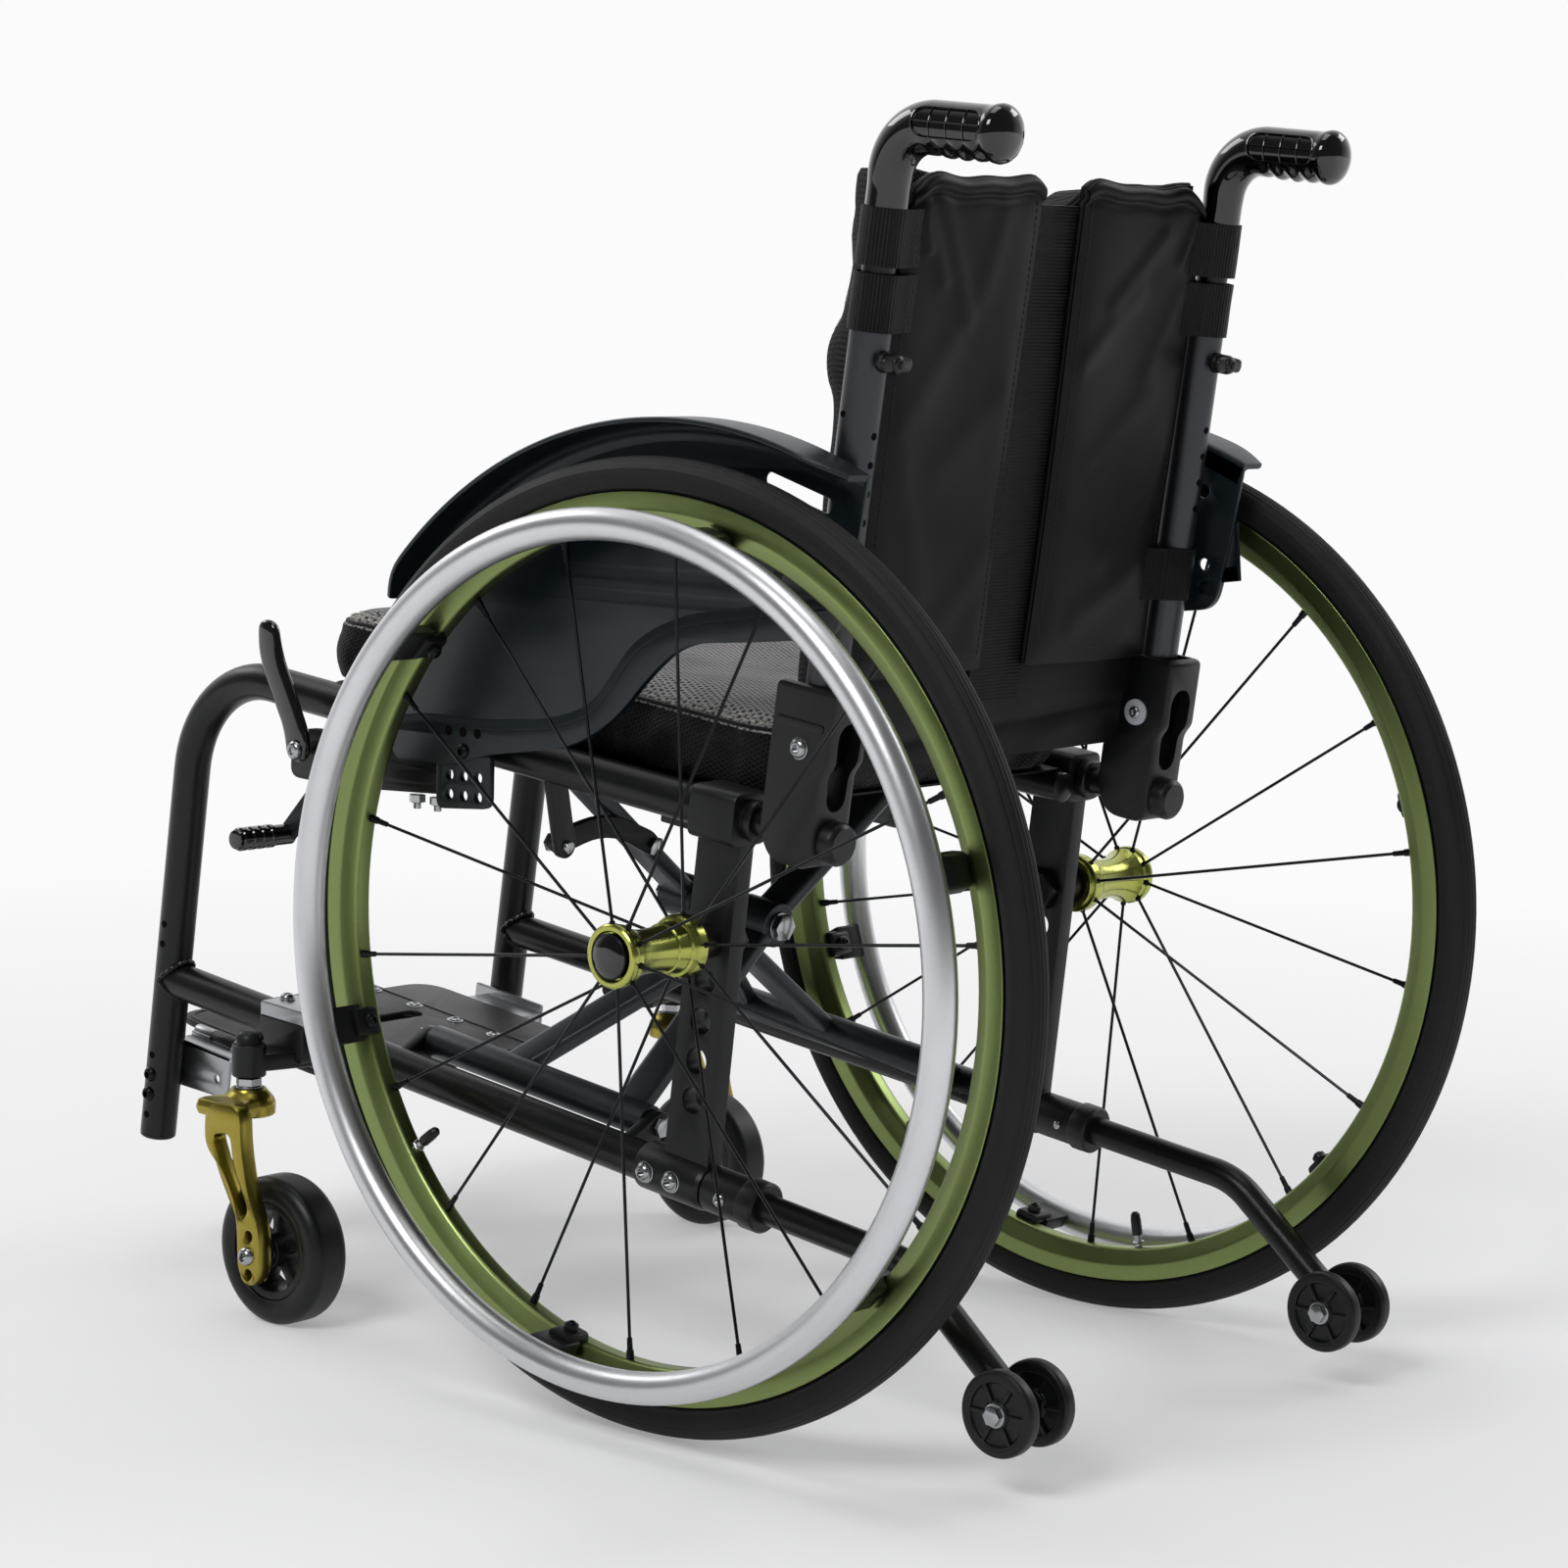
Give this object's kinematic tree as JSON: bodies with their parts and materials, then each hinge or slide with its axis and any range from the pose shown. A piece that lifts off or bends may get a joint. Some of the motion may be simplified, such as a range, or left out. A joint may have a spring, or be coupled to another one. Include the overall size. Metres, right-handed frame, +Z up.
{
  "type": "folding wheelchair",
  "caption": "Lightweight folding wheelchair with cross brace, quick-release rear wheels with handrims, swivel casters, push handles and swing-in anti-tip wheels.",
  "frame": {"origin": "on the floor below the middle of the bounding box", "axes": "+Z up, front towards -Y, +X to the user's left"},
  "size_m": [0.5552, 0.85, 0.8032],
  "materials": {
    "frame_black": "satin black powder coat",
    "brace_grey": "dark metallic grey",
    "post_grey": "dark metallic grey",
    "rim_green": "green anodised",
    "hub_lime": "lime anodised",
    "fork_gold": "olive gold anodised",
    "silver_satin": "satin",
    "tyre_black": "matt",
    "plastic_black": "moulded black",
    "gloss_black": "glossy black",
    "guard_teal": "moulded, dark blue-black",
    "cloth_black": "woven nylon",
    "mesh_grey": "grey spacer mesh"
  },
  "bodies": {
    "frame_left": {"side_frame_left": "frame_black", "axle_plate_left": "frame_black", "caster_housing_left": "plastic_black", "back_hinge_left": "plastic_black", "side_guard_left": "guard_teal", "brake_mount_left": "plastic_black", "antitip_socket_left": "plastic_black", "foot_bracket_left": "silver_satin"},
    "cross_arm_a": {"cross_arm_a": "brace_grey", "cross_pivot": "silver_satin", "seat_sling": "cloth_black", "seat_cushion": "mesh_grey"},
    "cross_arm_b": {"cross_arm_b": "brace_grey"},
    "frame_right": {"side_frame_right": "frame_black", "axle_plate_right": "frame_black", "caster_housing_right": "plastic_black", "back_hinge_right": "plastic_black", "side_guard_right": "guard_teal", "brake_mount_right": "plastic_black", "antitip_socket_right": "plastic_black", "foot_bracket_right": "silver_satin"},
    "footplate": {"footplate": "plastic_black"},
    "fold_link_left": {"fold_link_left": "frame_black"},
    "fold_link_right": {"fold_link_right": "frame_black"},
    "back_left": {"back_post_left": "post_grey", "back_upholstery": "cloth_black"},
    "back_right": {"back_post_right": "post_grey"},
    "handle_left": {"push_handle_left": "gloss_black"},
    "wing_knob_left": {"wing_knob_left": "plastic_black"},
    "wheel_left": {"rear_tyre_left": "tyre_black", "rear_rim_left": "rim_green", "rear_hub_left": "hub_lime", "handrim_left": "silver_satin"},
    "axle_button_left": {"axle_button_left": "gloss_black"},
    "caster_fork_left": {"caster_fork_left": "fork_gold"},
    "caster_wheel_left": {"caster_core_left": "plastic_black", "caster_tyre_left": "tyre_black"},
    "antitip_arm_left": {"antitip_arm_left": "frame_black"},
    "antitip_button_left": {"antitip_button_left": "silver_satin"},
    "antitip_wheel_outer_left": {"antitip_wheel_outer_left": "plastic_black"},
    "antitip_wheel_inner_left": {"antitip_wheel_inner_left": "plastic_black"},
    "brake_lever_left": {"brake_lever_left": "gloss_black"},
    "brake_shoe_left": {"brake_shoe_left": "plastic_black"},
    "handle_right": {"push_handle_right": "gloss_black"},
    "wing_knob_right": {"wing_knob_right": "plastic_black"},
    "wheel_right": {"rear_tyre_right": "tyre_black", "rear_rim_right": "rim_green", "rear_hub_right": "hub_lime", "handrim_right": "silver_satin"},
    "axle_button_right": {"axle_button_right": "gloss_black"},
    "caster_fork_right": {"caster_fork_right": "fork_gold"},
    "caster_wheel_right": {"caster_core_right": "plastic_black", "caster_tyre_right": "tyre_black"},
    "antitip_arm_right": {"antitip_arm_right": "frame_black"},
    "antitip_button_right": {"antitip_button_right": "silver_satin"},
    "antitip_wheel_outer_right": {"antitip_wheel_outer_right": "plastic_black"},
    "antitip_wheel_inner_right": {"antitip_wheel_inner_right": "plastic_black"},
    "brake_lever_right": {"brake_lever_right": "gloss_black"},
    "brake_shoe_right": {"brake_shoe_right": "plastic_black"}
  },
  "joints": [
    {"name": "fold", "type": "hinge", "parent": "frame_left", "child": "cross_arm_a", "pos_m": [0.141, -0.00888, 0.17515], "axis": [0, 0.992, -0.126], "range_deg": [0, 42], "deforming": ["seat_sling", "seat_cushion", "back_upholstery"]},
    {"name": "cross_pivot", "type": "hinge", "parent": "cross_arm_a", "child": "cross_arm_b", "pos_m": [0, 0.00448, 0.2803], "axis": [0, 0.992, -0.126], "range_deg": [-84, 0]},
    {"name": "fold_right", "type": "hinge", "parent": "cross_arm_b", "child": "frame_right", "pos_m": [-0.141, -0.00888, 0.17515], "axis": [0, 0.992, -0.126], "range_deg": [0, 42]},
    {"name": "footplate_hinge", "type": "hinge", "parent": "frame_left", "child": "footplate", "pos_m": [0.135, -0.31056, 0.15448], "axis": [0, 0.992, -0.126], "range_deg": [0, 84]},
    {"name": "fold_link_left", "type": "hinge", "parent": "frame_left", "child": "fold_link_left", "pos_m": [0.15, 0.01128, 0.33387], "axis": [0, 0.992, -0.126], "range_deg": [0, 78]},
    {"name": "fold_link_right", "type": "hinge", "parent": "frame_right", "child": "fold_link_right", "pos_m": [-0.15, 0.01128, 0.33387], "axis": [0, 0.992, -0.126], "range_deg": [-78, 0]},
    {"name": "back_recline_left", "type": "hinge", "parent": "frame_left", "child": "back_left", "pos_m": [0.168, 0.20865, 0.424], "axis": [1, 0, 0], "range_deg": [-8, 0]},
    {"name": "back_recline_right", "type": "hinge", "parent": "frame_right", "child": "back_right", "pos_m": [-0.168, 0.20865, 0.424], "axis": [1, 0, 0], "range_deg": [-8, 0]},
    {"name": "handle_height_left", "type": "slide", "parent": "back_left", "child": "handle_left", "axis": [0, 0.1289, 0.9917], "range_m": [0, 0.08]},
    {"name": "wing_knob_left", "type": "hinge", "parent": "back_left", "child": "wing_knob_left", "pos_m": [0.168, 0.25849, 0.65222], "axis": [0, 0.9917, -0.1289], "continuous": true},
    {"name": "wheel_left", "type": "hinge", "parent": "frame_left", "child": "wheel_left", "pos_m": [0.225, 0.12912, 0.297], "axis": [1, 0, 0], "continuous": true},
    {"name": "axle_button_left", "type": "slide", "parent": "wheel_left", "child": "axle_button_left", "axis": [-1, 0, 0], "range_m": [0, 0.003], "stiffness_N_per_m": 300},
    {"name": "caster_swivel_left", "type": "hinge", "parent": "frame_left", "child": "caster_fork_left", "pos_m": [0.21, -0.25088, 0.16], "axis": [0, 0, 1], "continuous": true},
    {"name": "caster_roll_left", "type": "hinge", "parent": "caster_fork_left", "child": "caster_wheel_left", "pos_m": [0.21, -0.21538, 0.05], "axis": [1, 0, 0], "continuous": true},
    {"name": "antitip_swing_left", "type": "hinge", "parent": "frame_left", "child": "antitip_arm_left", "pos_m": [0.168, 0.14312, 0.14072], "axis": [0, 0.992, -0.126], "range_deg": [0, 180]},
    {"name": "antitip_button_left", "type": "slide", "parent": "frame_left", "child": "antitip_button_left", "axis": [1, 0, 0], "range_m": [0, 0.002], "stiffness_N_per_m": 200},
    {"name": "antitip_wheel_outer_left", "type": "hinge", "parent": "antitip_arm_left", "child": "antitip_wheel_outer_left", "pos_m": [0.185, 0.37312, 0.052], "axis": [1, 0, 0], "continuous": true},
    {"name": "antitip_wheel_inner_left", "type": "hinge", "parent": "antitip_arm_left", "child": "antitip_wheel_inner_left", "pos_m": [0.151, 0.37312, 0.052], "axis": [1, 0, 0], "continuous": true},
    {"name": "brake_lever_left", "type": "hinge", "parent": "frame_left", "child": "brake_lever_left", "pos_m": [0.2, -0.21488, 0.385], "axis": [1, 0, 0], "range_deg": [0, 52]},
    {"name": "brake_shoe_left", "type": "hinge", "parent": "frame_left", "child": "brake_shoe_left", "pos_m": [0.191, -0.18888, 0.372], "axis": [1, 0, 0], "range_deg": [0, 57.4]},
    {"name": "handle_height_right", "type": "slide", "parent": "back_right", "child": "handle_right", "axis": [0, 0.1289, 0.9917], "range_m": [0, 0.08]},
    {"name": "wing_knob_right", "type": "hinge", "parent": "back_right", "child": "wing_knob_right", "pos_m": [-0.168, 0.25849, 0.65222], "axis": [0, 0.9917, -0.1289], "continuous": true},
    {"name": "wheel_right", "type": "hinge", "parent": "frame_right", "child": "wheel_right", "pos_m": [-0.225, 0.12912, 0.297], "axis": [1, 0, 0], "continuous": true},
    {"name": "axle_button_right", "type": "slide", "parent": "wheel_right", "child": "axle_button_right", "axis": [1, 0, 0], "range_m": [0, 0.003], "stiffness_N_per_m": 300},
    {"name": "caster_swivel_right", "type": "hinge", "parent": "frame_right", "child": "caster_fork_right", "pos_m": [-0.21, -0.25088, 0.16], "axis": [0, 0, 1], "continuous": true},
    {"name": "caster_roll_right", "type": "hinge", "parent": "caster_fork_right", "child": "caster_wheel_right", "pos_m": [-0.21, -0.21538, 0.05], "axis": [1, 0, 0], "continuous": true},
    {"name": "antitip_swing_right", "type": "hinge", "parent": "frame_right", "child": "antitip_arm_right", "pos_m": [-0.168, 0.14312, 0.14072], "axis": [0, 0.992, -0.126], "range_deg": [-180, 0]},
    {"name": "antitip_button_right", "type": "slide", "parent": "frame_right", "child": "antitip_button_right", "axis": [-1, 0, 0], "range_m": [0, 0.002], "stiffness_N_per_m": 200},
    {"name": "antitip_wheel_outer_right", "type": "hinge", "parent": "antitip_arm_right", "child": "antitip_wheel_outer_right", "pos_m": [-0.185, 0.37312, 0.052], "axis": [1, 0, 0], "continuous": true},
    {"name": "antitip_wheel_inner_right", "type": "hinge", "parent": "antitip_arm_right", "child": "antitip_wheel_inner_right", "pos_m": [-0.151, 0.37312, 0.052], "axis": [1, 0, 0], "continuous": true},
    {"name": "brake_lever_right", "type": "hinge", "parent": "frame_right", "child": "brake_lever_right", "pos_m": [-0.2, -0.21488, 0.385], "axis": [1, 0, 0], "range_deg": [0, 52]},
    {"name": "brake_shoe_right", "type": "hinge", "parent": "frame_right", "child": "brake_shoe_right", "pos_m": [-0.191, -0.18888, 0.372], "axis": [1, 0, 0], "range_deg": [0, 57.4]}
  ],
  "couplings": [
    {"joint": "cross_pivot", "follows": "fold", "ratio": -2},
    {"joint": "fold_right", "follows": "fold", "ratio": 1},
    {"joint": "footplate_hinge", "follows": "fold", "ratio": 2},
    {"joint": "fold_link_left", "follows": "fold", "ratio": 1.845},
    {"joint": "fold_link_right", "follows": "fold", "ratio": -1.845},
    {"joint": "back_recline_right", "follows": "back_recline_left", "ratio": 1},
    {"joint": "brake_shoe_left", "follows": "brake_lever_left", "ratio": 1.102},
    {"joint": "brake_shoe_right", "follows": "brake_lever_right", "ratio": 1.102}
  ]
}
